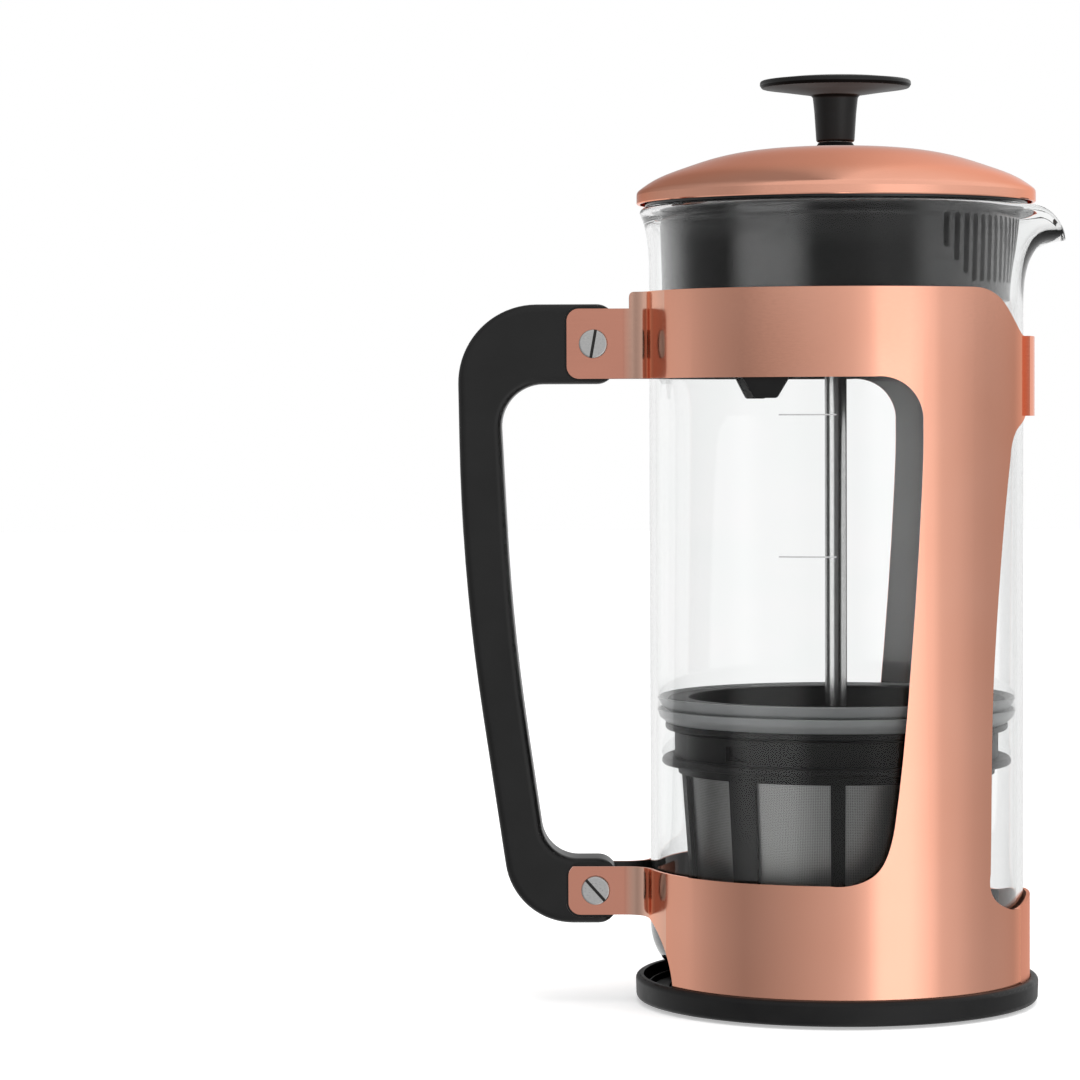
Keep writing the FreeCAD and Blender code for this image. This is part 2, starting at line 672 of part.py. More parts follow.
# ---- plunger ----
def knob():
    return revolved([
        (3.1, ROD_SHOULDER_Z, 0),
        (3.1, KNOB_BOTTOM_Z, 0),
        (5.1, KNOB_BOTTOM_Z, 0.6),
        (5.6, 238.2, 8.0),
        (6.1, 242.9, 1.2),
        (14.0, 244.1, 4.0),
        (KNOB_R - 0.5, KNOB_EDGE_Z, 0.4),
        (KNOB_R, KNOB_EDGE_Z + 0.8, 0.4),
        (KNOB_R - 0.1, 246.8, 0.6),
        (14.0, 247.5, 6.0),
        (0, KNOB_TOP_Z, 0),
        (0, 245.0, 0),
        (4.2, 245.0, 0),
        (4.2, ROD_SHOULDER_Z, 0)])


def knob_insert():
    """Threaded insert inside the knob's stem, screwed onto the rod's end."""
    return revolved([
        (2.0, ROD_SHOULDER_Z + 0.1, 0),
        (4.1, ROD_SHOULDER_Z + 0.1, 0.3),
        (4.1, 244.9, 0.3),
        (0, 244.9, 0),
        (0, 243.4, 0),
        (2.0, 243.4, 0)])


def plunger_rod():
    """Rod with a turned-down thread at each end."""
    return revolved([
        (0, 27.9, 0),
        (1.9, 27.9, 0.3),
        (1.9, 31.0, 0),
        (ROD_R, 31.0, 0.2),
        (ROD_R, ROD_SHOULDER_Z, 0.2),
        (1.9, ROD_SHOULDER_Z, 0),
        (1.9, 243.2, 0.3),
        (0, 243.2, 0)])


def filter_hub():
    """Boss between the rod's shoulder and the basket floor."""
    return revolved([
        (2.0, 30.2, 0),
        (8.0, 30.2, 0.3),
        (7.4, 33.4, 0.8),
        (4.6, 35.6, 0.6),
        (3.0, 35.6, 0),
        (3.0, 31.0, 0),
        (2.0, 31.0, 0)])


def rod_nut():
    """Thin hexagon nut below the basket floor."""
    across = 3.6
    corners = []
    for step in range(6):
        turn = math.radians(60.0 * step)
        corners.append(vec(across * math.cos(turn), across * math.sin(turn), 26.6))
    corners.append(corners[0])
    face = Part.Face(Part.makePolygon(corners))
    nut = face.extrude(vec(0, 0, 1.6))
    return nut.cut(Part.makeCylinder(1.95, 5.0, vec(0, 0, 25.0)))


# ---- filter baskets ----
def rib_radius(z, low, high, bottom_r, top_r):
    share = (z - low) / (high - low)
    return bottom_r + share * (top_r - bottom_r)


def basket_wall(z_low, z_high, low_r, high_r, thickness):
    return revolved([
        (low_r - thickness, z_low, 0),
        (low_r, z_low, 0),
        (high_r, z_high, 0),
        (high_r - thickness, z_high, 0)])


def window_cutters(z_low, z_high):
    """Wedges between the ribs."""
    cutters = []
    pitch = 360.0 / RIB_COUNT
    half = math.degrees(RIB_WIDTH / 2.0 / RIB_MIDDLE_R)
    extra = math.degrees(WIDE_RIB_EXTRA / 2.0 / RIB_MIDDLE_R)
    for i in range(RIB_COUNT):
        left = WIDE_RIB_AZIMUTH + pitch * i + half
        right = WIDE_RIB_AZIMUTH + pitch * (i + 1) - half
        if i == 0:
            left += extra
        if i == RIB_COUNT - 1:
            right -= extra
        cutters.append(sector(20.0, 60.0, z_low, z_high, (left + right) / 2.0, right - left))
    return cutters


def spokes(length, height, low_z, start_azimuth):
    made = []
    for i in range(SPOKE_COUNT):
        spoke = Part.makeBox(length, SPOKE_WIDTH, height, vec(5.0, -SPOKE_WIDTH / 2.0, low_z))
        made.append(turned(spoke, 360.0 / SPOKE_COUNT * i + start_azimuth))
    return made


def inner_filter_frame():
    bottom_r = INNER_RIB_BOTTOM_R
    top_r = INNER_RIB_TOP_R
    low, high = INNER_WINDOW_Z
    wall = basket_wall(INNER_BOTTOM_Z + 1.0, high + 1.0, bottom_r, top_r, RIB_THICKNESS)
    for cutter in window_cutters(low, high):
        wall = wall.cut(cutter)
    floor_ring = revolved([
        (bottom_r - RIB_THICKNESS - 2.5, INNER_BOTTOM_Z, 0),
        (bottom_r - 0.4, INNER_BOTTOM_Z, 0.5),
        (bottom_r, INNER_BOTTOM_Z + 1.0, 0),
        (bottom_r - RIB_THICKNESS, INNER_BOTTOM_Z + 1.0, 0),
        (bottom_r - RIB_THICKNESS - 2.5, INNER_BOTTOM_Z + 1.0, 0)])
    hub_ring = tube(4.2, 8.2, INNER_BOTTOM_Z, INNER_BOTTOM_Z + 1.0)
    hub_seat = tube(1.95, 8.2, INNER_BOTTOM_Z + 1.0, INNER_BOTTOM_Z + 2.6)
    collar = revolved([
        (top_r - RIB_THICKNESS, high + 0.8, 0),
        (top_r, high + 0.8, 0),
        (INNER_COLLAR_R - 0.3, high + 1.6, 0),
        (INNER_COLLAR_R, high + 2.2, 0),
        (INNER_COLLAR_R, INNER_FLANGE_Z, 0),
        (INNER_FLANGE_R, INNER_FLANGE_Z, 1.0),
        (INNER_FLANGE_R, SEAL_Z[0], 0.3),
        (SEAL_SEAT_R, SEAL_Z[0], 0),
        (SEAL_SEAT_R, SEAL_Z[1], 0),
        (INNER_RIM_R, SEAL_Z[1], 0.6),
        (INNER_RIM_R, INNER_TOP_Z, 0.8),
        (INNER_BORE_R, INNER_TOP_Z, 0.4),
        (39.2, 72.0, 2.0)])
    frame = wall.fuse([floor_ring, hub_ring, hub_seat, collar] + spokes(30.5, 1.0, INNER_BOTTOM_Z, 31.0))
    for i in range(LUG_COUNT):
        width = math.degrees(LUG_SIZE[0] / INNER_COLLAR_R)
        lug = sector(INNER_COLLAR_R - 0.5, INNER_COLLAR_R + LUG_HEIGHT, LUG_Z - LUG_SIZE[1] / 2.0,
                     LUG_Z + LUG_SIZE[1] / 2.0, BAYONET_AZIMUTH + 120.0 * i, width)
        frame = frame.fuse(lug)
    return frame


def outer_filter_frame():
    bottom_r = OUTER_RIB_BOTTOM_R
    top_r = OUTER_RIB_TOP_R
    low, high = OUTER_WINDOW_Z
    wall = basket_wall(OUTER_BOTTOM_Z + 0.8, OUTER_FLANGE_Z[0] + 0.5, bottom_r, top_r, RIB_THICKNESS)
    for cutter in window_cutters(low, high):
        wall = wall.cut(cutter)
    floor_ring = revolved([
        (bottom_r - RIB_THICKNESS - 2.5, OUTER_BOTTOM_Z, 0),
        (bottom_r - 0.5, OUTER_BOTTOM_Z, 0.6),
        (bottom_r, OUTER_BOTTOM_Z + 1.4, 0),
        (bottom_r - RIB_THICKNESS, OUTER_BOTTOM_Z + 1.4, 0),
        (bottom_r - RIB_THICKNESS - 2.5, OUTER_BOTTOM_Z + 1.4, 0)])
    hub = tube(0, 6.0, OUTER_BOTTOM_Z, OUTER_BOTTOM_Z + 1.4)
    collar = revolved([
        (top_r - RIB_THICKNESS, OUTER_FLANGE_Z[0], 0),
        (OUTER_FLANGE_R, OUTER_FLANGE_Z[0], 0.9),
        (OUTER_FLANGE_R, OUTER_FLANGE_Z[1], 0.9),
        (OUTER_COLLAR_R, OUTER_FLANGE_Z[1], 0),
        (OUTER_COLLAR_R, OUTER_TOP_Z, 0.4),
        (OUTER_COLLAR_BORE_R, OUTER_TOP_Z, 0.2),
        (OUTER_COLLAR_BORE_R, OUTER_FLANGE_Z[1] + 0.4, 0),
        (top_r - RIB_THICKNESS, OUTER_FLANGE_Z[1] - 0.6, 0)])
    frame = wall.fuse([floor_ring, hub, collar] + spokes(32.0, 1.4, OUTER_BOTTOM_Z, 13.0))
    lug_degrees = math.degrees(LUG_SIZE[0] / INNER_COLLAR_R)
    spare = 2.0
    groove_r = INNER_COLLAR_R + LUG_HEIGHT + LUG_CLEARANCE
    groove_low = LUG_Z - LUG_SIZE[1] / 2.0 - LUG_CLEARANCE
    groove_high = LUG_Z + LUG_SIZE[1] / 2.0 + LUG_CLEARANCE
    for i in range(LUG_COUNT):
        locked = BAYONET_AZIMUTH + 120.0 * i
        free = locked - BAYONET_TURN
        groove = sector(40.0, groove_r, groove_low, groove_high, (locked + free) / 2.0,
                        BAYONET_TURN + lug_degrees + spare)
        entry = sector(40.0, groove_r, groove_low, OUTER_TOP_Z + 1.0, free, lug_degrees + spare)
        window = sector(40.0, 50.0, LUG_Z - WINDOW_SIZE[1] / 2.0, LUG_Z + WINDOW_SIZE[1] / 2.0,
                        locked, math.degrees(WINDOW_SIZE[0] / OUTER_COLLAR_R))
        frame = frame.cut(groove).cut(entry).cut(window)
    return frame


def mesh_wall(z_low, z_high, frame_low, frame_high, bottom_r, top_r):
    """Thin conical sleeve just inside the ribs."""
    low_r = rib_radius(z_low, frame_low, frame_high, bottom_r, top_r) - RIB_THICKNESS
    high_r = rib_radius(z_high, frame_low, frame_high, bottom_r, top_r) - RIB_THICKNESS
    return basket_wall(z_low, z_high, low_r, high_r, MESH)


def inner_mesh_wall():
    return mesh_wall(INNER_BOTTOM_Z + 1.0, INNER_WINDOW_Z[1] + 0.8, INNER_BOTTOM_Z + 1.0,
                     INNER_WINDOW_Z[1] + 1.0, INNER_RIB_BOTTOM_R, INNER_RIB_TOP_R)


def outer_mesh_wall():
    return mesh_wall(OUTER_BOTTOM_Z + 1.4, OUTER_FLANGE_Z[0], OUTER_BOTTOM_Z + 0.8,
                     OUTER_FLANGE_Z[0] + 0.5, OUTER_RIB_BOTTOM_R, OUTER_RIB_TOP_R)


def inner_mesh_floor():
    return tube(8.2, INNER_RIB_BOTTOM_R - RIB_THICKNESS - MESH, INNER_BOTTOM_Z + 1.0,
                INNER_BOTTOM_Z + 1.0 + MESH)


def outer_mesh_floor():
    return tube(0, OUTER_RIB_BOTTOM_R - RIB_THICKNESS - MESH, OUTER_BOTTOM_Z + 1.4,
                OUTER_BOTTOM_Z + 1.4 + MESH)


def lip_seal():
    """Ring in the basket's groove with two thin lips that lean out and up to the glass."""
    low, high = SEAL_Z
    return revolved([
        (SEAL_SEAT_R, low, 0),
        (45.4, low, 0.3),
        (47.4, LOWER_LIP_Z - 2.1, 2.0),
        (SEAL_LIP_R, LOWER_LIP_Z, 0.2),
        (47.3, LOWER_LIP_Z, 0.2),
        (46.3, LOWER_LIP_Z - 1.8, 0.8),
        (45.1, LOWER_LIP_Z - 1.9, 0.4),
        (44.9, LOWER_LIP_Z - 0.9, 0.3),
        (46.7, 79.8, 1.0),
        (SEAL_LIP_R, UPPER_LIP_Z, 0.2),
        (47.4, UPPER_LIP_Z, 0.2),
        (46.1, 80.6, 1.0),
        (45.2, high - 0.1, 0.2),
        (44.6, high - 0.1, 0),
        (SEAL_SEAT_R, high - 0.1, 0)])


def main():
    os.makedirs("parts", exist_ok=True)
    save("glass_jar", glass_jar())
    save("cage_frame", cage_frame())
    save("base_foot", base_foot())
    save("handle", handle())
    save("handle_screw_upper", handle_screw(UPPER_SCREW, 80.0))
    save("handle_screw_lower", handle_screw(LOWER_SCREW, -48.0))
    save("handle_nut_upper", handle_nut(UPPER_SCREW))
    save("handle_nut_lower", handle_nut(LOWER_SCREW))
    save("glass_bumper_near", glass_bumper(-1))
    save("glass_bumper_far", glass_bumper(1))
    save("lid_bush", lid_bush())
    save("lid_cover", lid_cover())
    save("lid_skirt", lid_skirt())
    save("lid_retainer", lid_retainer())
    save("knob", knob())
    save("knob_insert", knob_insert())
    save("plunger_rod", plunger_rod())
    save("filter_hub", filter_hub())
    save("rod_nut", rod_nut())
    save("inner_filter_frame", inner_filter_frame())
    save("inner_mesh_wall", inner_mesh_wall())
    save("inner_mesh_floor", inner_mesh_floor())
    save("lip_seal", lip_seal())
    save("outer_filter_frame", outer_filter_frame())
    save("outer_mesh_wall", outer_mesh_wall())
    save("outer_mesh_floor", outer_mesh_floor())


main()
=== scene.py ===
import math

import bmesh
import bpy
from mathutils import Matrix, Vector


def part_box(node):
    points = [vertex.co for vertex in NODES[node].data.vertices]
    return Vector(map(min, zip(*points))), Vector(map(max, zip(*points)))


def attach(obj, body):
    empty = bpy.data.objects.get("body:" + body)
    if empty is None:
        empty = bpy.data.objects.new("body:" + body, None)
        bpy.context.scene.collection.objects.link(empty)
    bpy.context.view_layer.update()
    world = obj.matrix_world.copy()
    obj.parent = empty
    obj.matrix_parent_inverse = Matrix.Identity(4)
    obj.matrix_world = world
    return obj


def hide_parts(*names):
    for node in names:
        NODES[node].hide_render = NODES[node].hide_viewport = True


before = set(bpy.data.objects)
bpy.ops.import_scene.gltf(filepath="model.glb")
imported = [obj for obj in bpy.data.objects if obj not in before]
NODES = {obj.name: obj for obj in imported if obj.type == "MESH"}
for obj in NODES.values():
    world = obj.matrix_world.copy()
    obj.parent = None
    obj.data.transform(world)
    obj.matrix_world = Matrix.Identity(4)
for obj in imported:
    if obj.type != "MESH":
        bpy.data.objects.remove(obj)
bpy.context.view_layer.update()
MM = 0.001

# ---- camera, as set up for the reference view ----
CAMERA_AZIMUTH = math.radians(3.2)
CAMERA_DISTANCE = 1.0653
CAMERA_HEIGHT = 0.160
CAMERA_YAW = -0.0747
CAMERA_PITCH = 0.0337
CAMERA_ROLL = -0.0037
CAMERA_LENS = 131.85


# ---- node material helpers ----
class Shader:
    """A material's node tree with one Principled shader and short ways to add nodes."""

    def __init__(self, name):
        self.material = bpy.data.materials.new(name)
        self.material.use_nodes = True
        self.tree = self.material.node_tree
        self.bsdf = self.tree.nodes["Principled BSDF"]
        self.coords = self.tree.nodes.new("ShaderNodeTexCoord")

    def node(self, kind, **settings):
        made = self.tree.nodes.new("ShaderNode" + kind)
        for key, value in settings.items():
            setattr(made, key, value)
        return made

    def link(self, source, target):
        self.tree.links.new(source, target)

    def set(self, **values):
        for key, value in values.items():
            self.bsdf.inputs[key.replace("_", " ")].default_value = value

    def math(self, operation, first, second=None):
        made = self.node("Math", operation=operation)
        for socket, value in zip(made.inputs, (first, second)):
            if value is None:
                continue
            if isinstance(value, (int, float)):
                socket.default_value = value
            else:
                self.link(value, socket)
        return made.outputs[0]

    def stretched(self, x, y, z):
        """Object coordinates times a scale per axis."""
        mapping = self.node("Mapping")
        mapping.inputs["Scale"].default_value = (x, y, z)
        self.link(self.coords.outputs["Object"], mapping.inputs["Vector"])
        return mapping.outputs["Vector"]

    def around(self, x_scale, z_scale):
        """Coordinates that wrap round the Z axis: (angle * x_scale, z * z_scale, radius)."""
        split = self.node("SeparateXYZ")
        self.link(self.coords.outputs["Object"], split.inputs[0])
        angle = self.math("ARCTAN2", split.outputs["Y"], split.outputs["X"])
        square_x = self.math("MULTIPLY", split.outputs["X"], split.outputs["X"])
        square_y = self.math("MULTIPLY", split.outputs["Y"], split.outputs["Y"])
        radius = self.math("SQRT", self.math("ADD", square_x, square_y))
        joined = self.node("CombineXYZ")
        self.link(self.math("MULTIPLY", angle, x_scale), joined.inputs["X"])
        self.link(self.math("MULTIPLY", split.outputs["Z"], z_scale), joined.inputs["Y"])
        self.link(radius, joined.inputs["Z"])
        return joined.outputs[0]

    def noise(self, vector, scale, detail=3.0):
        made = self.node("TexNoise")
        made.inputs["Scale"].default_value = scale
        made.inputs["Detail"].default_value = detail
        self.link(vector, made.inputs["Vector"])
        return made.outputs["Fac"]

    def ramp(self, value, stops):
        """stops is [(position, (r, g, b)), ...]."""
        made = self.node("ValToRGB")
        elements = made.color_ramp.elements
        while len(elements) < len(stops):
            elements.new(0.5)
        for element, (position, colour) in zip(elements, stops):
            element.position = position
            element.color = (*colour, 1.0)
        self.link(value, made.inputs["Fac"])
        return made.outputs["Color"]

    def spread(self, value, low, high, from_low=0.0, from_high=1.0):
        made = self.node("MapRange")
        made.inputs["From Min"].default_value = from_low
        made.inputs["From Max"].default_value = from_high
        made.inputs["To Min"].default_value = low
        made.inputs["To Max"].default_value = high
        self.link(value, made.inputs["Value"])
        return made.outputs["Result"]

    def bump(self, height, strength, distance):
        made = self.node("Bump")
        made.inputs["Strength"].default_value = strength
        made.inputs["Distance"].default_value = distance
        self.link(height, made.inputs["Height"])
        self.link(made.outputs["Normal"], self.bsdf.inputs["Normal"])


# ---- materials ----
BEND_TO_X = -0.0462               # the cage's bends and tabs lie behind this
TAB_BLEND_X = (-0.0570, -0.0545)  # from the flat tabs to the bends
LIP_TOP_Z = 0.045                 # the lower ring's lip below the spout
LIP_FROM_X = 0.0475
INSIDE_ROUGHNESS = 0.45
WIRE_PITCH = 0.00042
BASKET_R = 0.038                  # where the wall cloth's wires are WIRE_PITCH apart


def either(s, choose, first, second):
    """Second colour where choose is 1, first where it is 0."""
    mix = s.node("Mix", data_type="RGBA")
    s.link(choose, mix.inputs["Factor"])
    s.link(first, mix.inputs["A"])
    s.link(second, mix.inputs["B"])
    return mix.outputs["Result"]


def copper(name, steel_inside_and_painted_tones=False):
    """Polished copper plate: faint rolling marks, slight cloudiness.

    With its flag set the cage gets its bare dark steel inside, paler bends (a painted highlight),
    duller tabs (painted shade) and a satin lip.
    """
    s = Shader(name)
    marks = s.noise(s.around(40.0, 2600.0), 1.0, detail=4.0)
    cloud = s.noise(s.stretched(30.0, 30.0, 30.0), 1.0, detail=2.0)
    tone = s.ramp(cloud, [(0.3, (0.885, 0.425, 0.298)), (0.7, (0.915, 0.455, 0.328))])
    s.set(Metallic=1.0, Specular_Tint=(0.95, 0.62, 0.52, 1.0))
    roughness = s.spread(marks, 0.10, 0.16, 0.3, 0.7)
    metal = None
    if steel_inside_and_painted_tones:
        place = s.node("SeparateXYZ")
        s.link(s.coords.outputs["Object"], place.inputs[0])
        # the bends behind the tabs get a paler copper: a painted highlight
        bend = s.math("LESS_THAN", place.outputs["X"], BEND_TO_X)
        bend_painted_highlight = s.ramp(cloud, [(0.3, (0.90, 0.545, 0.42)), (0.7, (0.92, 0.57, 0.445))])
        tone = either(s, bend, tone, bend_painted_highlight)
        # and the flat tabs get a duller, darker copper: painted shade
        tab_painted_shade = s.ramp(cloud, [(0.3, (0.64, 0.285, 0.205)), (0.7, (0.68, 0.305, 0.22))])
        tab = s.spread(place.outputs["X"], 1.0, 0.0, *TAB_BLEND_X)
        tone = either(s, tab, tone, tab_painted_shade)
        inward = s.node("VectorMath", operation="DOT_PRODUCT")
        flat = s.node("VectorMath", operation="MULTIPLY")
        flat.inputs[1].default_value = (1.0, 1.0, 0.0)
        s.link(s.coords.outputs["Object"], flat.inputs[0])
        unit = s.node("VectorMath", operation="NORMALIZE")
        s.link(flat.outputs[0], unit.inputs[0])
        s.link(unit.outputs[0], inward.inputs[0])
        s.link(s.coords.outputs["Normal"], inward.inputs[1])
        round_side = s.math("LESS_THAN", inward.outputs["Value"], -0.6)
        # in the bends and tabs the inner side is the one that faces the middle plane
        normal = s.node("SeparateXYZ")
        s.link(s.coords.outputs["Normal"], normal.inputs[0])
        sideways = s.math("MULTIPLY", normal.outputs["Y"], place.outputs["Y"])
        tab_side = s.math("MULTIPLY", s.math("LESS_THAN", sideways, 0.0), bend)
        faces_in = s.math("MAXIMUM", round_side, tab_side)
        # below the spout the plating wraps over the lip of the lower ring
        low = s.math("LESS_THAN", place.outputs["Z"], LIP_TOP_Z)
        ahead = s.math("GREATER_THAN", place.outputs["X"], LIP_FROM_X)
        lip = s.math("MULTIPLY", low, ahead)
        inside = s.math("MULTIPLY", faces_in, s.math("SUBTRACT", 1.0, lip))
        steel = s.ramp(cloud, [(0.3, (0.09, 0.088, 0.087)), (0.7, (0.11, 0.108, 0.106))])
        tone = either(s, inside, tone, steel)
        rough = s.node("Mix", data_type="FLOAT")
        s.link(s.math("MAXIMUM", inside, lip), rough.inputs["Factor"])
        s.link(roughness, rough.inputs["A"])
        rough.inputs["B"].default_value = INSIDE_ROUGHNESS
        roughness = rough.outputs["Result"]
        # a satin lip, so it catches light from everywhere
        metal = s.math("MULTIPLY_ADD", s.math("MULTIPLY", lip, faces_in), -0.8)
        metal.node.inputs[2].default_value = 1.0
    s.link(tone, s.bsdf.inputs["Base Color"])
    s.link(roughness, s.bsdf.inputs["Roughness"])
    if metal is not None:
        s.link(metal, s.bsdf.inputs["Metallic"])
    s.bump(marks, 0.04, 0.00002)
    return s.material


def black_plastic(name, low=0.004, high=0.007, roughness=0.36, grain=0.25, shine=0.32,
                  dull_below=False):
    """Fine matt moulded plastic; grain is the strength of its fine texture.

    dull_below takes the shine off the faces that look down: painted shade, which keeps reflections
    off the undersides.
    """
    s = Shader(name)
    spark = s.noise(s.stretched(1.0, 1.0, 1.0), 4200.0, detail=2.0)
    cloud = s.noise(s.stretched(1.0, 1.0, 1.0), 60.0, detail=3.0)
    s.link(s.ramp(cloud, [(0.3, (low, low, low)), (0.7, (high, high, high * 1.02))]),
           s.bsdf.inputs["Base Color"])
    s.link(s.spread(cloud, roughness - 0.04, roughness + 0.04, 0.3, 0.7),
           s.bsdf.inputs["Roughness"])
    s.set(Specular_IOR_Level=shine)
    if dull_below:
        # painted shade: the faces that look down lose their shine
        facing = s.node("SeparateXYZ")
        s.link(s.coords.outputs["Normal"], facing.inputs[0])
        s.link(s.spread(facing.outputs["Z"], 0.03, shine, -0.5, -0.2),
               s.bsdf.inputs["Specular IOR Level"])
    s.bump(spark, grain, 0.000012)
    return s.material


def rubber(name):
    """Matt black rubber, a little dusty."""
    s = Shader(name)
    fine = s.noise(s.stretched(1.0, 1.0, 1.0), 1800.0, detail=3.0)
    dust = s.noise(s.stretched(1.0, 1.0, 1.0), 140.0, detail=4.0)
    s.link(s.ramp(dust, [(0.35, (0.0045, 0.0045, 0.005)), (0.75, (0.008, 0.008, 0.008))]),
           s.bsdf.inputs["Base Color"])
    s.link(s.spread(dust, 0.42, 0.54, 0.3, 0.7), s.bsdf.inputs["Roughness"])
    s.set(Specular_IOR_Level=0.25)
    s.bump(fine, 0.3, 0.00003)
    return s.material


def brushed_steel(name, across, along, tone, roughness, slot_shade_below=None):
    """Steel with drawn marks round the Z axis (large along) or along it (large across).

    The last argument darkens everything nearer the middle plane than it, the floors of the slots
    among it: painted shade.
    """
    s = Shader(name)
    marks = s.noise(s.around(across, along), 1.0, detail=4.0)
    s.set(Metallic=1.0)
    colour = s.ramp(marks, [(0.3, (tone * 0.82,) * 3), (0.7, (tone, tone, tone * 0.985))])
    if slot_shade_below is not None:
        place = s.node("SeparateXYZ")
        s.link(s.coords.outputs["Object"], place.inputs[0])
        depth = s.math("ABSOLUTE", place.outputs["Y"])
        deep = s.math("LESS_THAN", depth, slot_shade_below)
        # painted shade in the slots: a darker colour near the middle plane
        painted_slot_shade = s.ramp(marks, [(0.3, (0.03, 0.03, 0.03)), (0.7, (0.06, 0.058, 0.055))])
        colour = either(s, deep, colour, painted_slot_shade)
    s.link(colour, s.bsdf.inputs["Base Color"])
    s.link(s.spread(marks, roughness - 0.06, roughness + 0.08, 0.3, 0.7),
           s.bsdf.inputs["Roughness"])
    s.bump(marks, 0.15, 0.00001)
    return s.material


def brass(name):
    """Turned brass."""
    s = Shader(name)
    turn = s.noise(s.around(3.0, 9000.0), 1.0)
    s.set(Metallic=1.0)
    s.link(s.ramp(turn, [(0.3, (0.55, 0.38, 0.14)), (0.7, (0.68, 0.49, 0.2))]),
           s.bsdf.inputs["Base Color"])
    s.link(s.spread(turn, 0.25, 0.4, 0.3, 0.7), s.bsdf.inputs["Roughness"])
    return s.material


def woven_wall(name):
    """Woven wire cloth round a basket: warp and weft ridges with light through the gaps."""
    s = Shader(name)
    weave(s, s.around(BASKET_R / WIRE_PITCH, 1.0 / WIRE_PITCH))
    return s.material


def woven_floor(name):
    """The same cloth, flat across a basket's floor."""
    s = Shader(name)
    weave(s, s.stretched(1.0 / WIRE_PITCH, 1.0 / WIRE_PITCH, 1.0))
    return s.material


def weave(s, vector):
    """Wires with gaps between them; vector counts wires along X and Y."""
    split = s.node("SeparateXYZ")
    s.link(vector, split.inputs[0])
    warp = s.math("ABSOLUTE", s.math("SINE", s.math("MULTIPLY", split.outputs["X"], math.pi)))
    weft = s.math("ABSOLUTE", s.math("SINE", s.math("MULTIPLY", split.outputs["Y"], math.pi)))
    wires = s.math("MAXIMUM", warp, weft)
    s.set(Metallic=1.0)
    s.link(s.ramp(wires, [(0.3, (0.06, 0.06, 0.059)), (0.95, (0.27, 0.27, 0.266))]),
           s.bsdf.inputs["Base Color"])
    s.link(s.spread(wires, 0.55, 0.36), s.bsdf.inputs["Roughness"])
    s.link(s.spread(wires, 0.35, 1.0, 0.55, 0.75), s.bsdf.inputs["Alpha"])
    s.bump(wires, 0.6, 0.00008)


def silicone(name):
    """Milky translucent silicone."""
    s = Shader(name)
    cloud = s.noise(s.stretched(1.0, 1.0, 1.0), 90.0, detail=3.0)
    s.link(s.ramp(cloud, [(0.3, (0.50, 0.51, 0.515)), (0.7, (0.58, 0.59, 0.595))]),
           s.bsdf.inputs["Base Color"])
    s.link(s.spread(cloud, 0.3, 0.42, 0.3, 0.7), s.bsdf.inputs["Roughness"])
    s.set(Transmission_Weight=0.4, IOR=1.41)
    return s.material


def clear_glass(name):
    """Clear borosilicate glass; a faint waviness runs round the wall."""
    s = Shader(name)
    wave = s.noise(s.around(2.0, 60.0), 1.0, detail=1.0)
    s.link(s.ramp(wave, [(0.3, (0.985, 0.995, 0.992)), (0.7, (1.0, 1.0, 1.0))]),
           s.bsdf.inputs["Base Color"])
    s.link(s.spread(wave, 0.0, 0.012), s.bsdf.inputs["Roughness"])
    s.set(Transmission_Weight=1.0, IOR=1.474, Specular_Tint=(0.3, 0.3, 0.3, 1.0))
    return s.material


def print_ink(name):
    """Thin grey print with slight wear."""
    s = Shader(name)
    wear = s.noise(s.stretched(1.0, 1.0, 1.0), 4000.0, detail=2.0)
    s.link(s.ramp(wear, [(0.3, (0.36, 0.36, 0.36)), (0.7, (0.5, 0.5, 0.5))]),
           s.bsdf.inputs["Base Color"])
    s.set(Roughness=0.6)
    return s.material


# ---- mesh helpers ----
def finish_piece(name, bm, material, body, replaces=()):
    """Turns bm into a smooth-shaded piece that rides on a body."""
    bmesh.ops.remove_doubles(bm, verts=bm.verts, dist=1e-7)
    bmesh.ops.recalc_face_normals(bm, faces=bm.faces)
    mesh = bpy.data.meshes.new(name)
    bm.to_mesh(mesh)
    bm.free()
    piece = bpy.data.objects.new(name, mesh)
    bpy.context.scene.collection.objects.link(piece)
    mesh.materials.append(material)
    mesh.shade_smooth()
    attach(piece, body)
    if replaces:
        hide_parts(*replaces)


def grid_surface(bm, rings):
    """Joins rings of points into quads and closes both ends; each ring is a closed loop."""
    loops = [[bm.verts.new(p) for p in ring] for ring in rings]
    count = len(rings[0])
    for low, high in zip(loops, loops[1:]):
        for i in range(count):
            following = (i + 1) % count
            bm.faces.new((low[i], low[following], high[following], high[i]))
    bm.faces.new(loops[0])
    bm.faces.new(loops[-1])


def arc(centre_r, centre_z, radius, start, end, steps):
    """Points of a circular arc in (r, z), in degrees."""
    points = []
    for i in range(steps + 1):
        turn = math.radians(start + (end - start) * i / steps)
        points.append((centre_r + radius * math.cos(turn), centre_z + radius * math.sin(turn)))
    return points


def bezier(points, share):
    """Point at share, 0 to 1, of the Bezier curve over points."""
    work = [Vector(p) for p in points]
    while len(work) > 1:
        work = [a.lerp(b, share) for a, b in zip(work, work[1:])]
    return work[0]


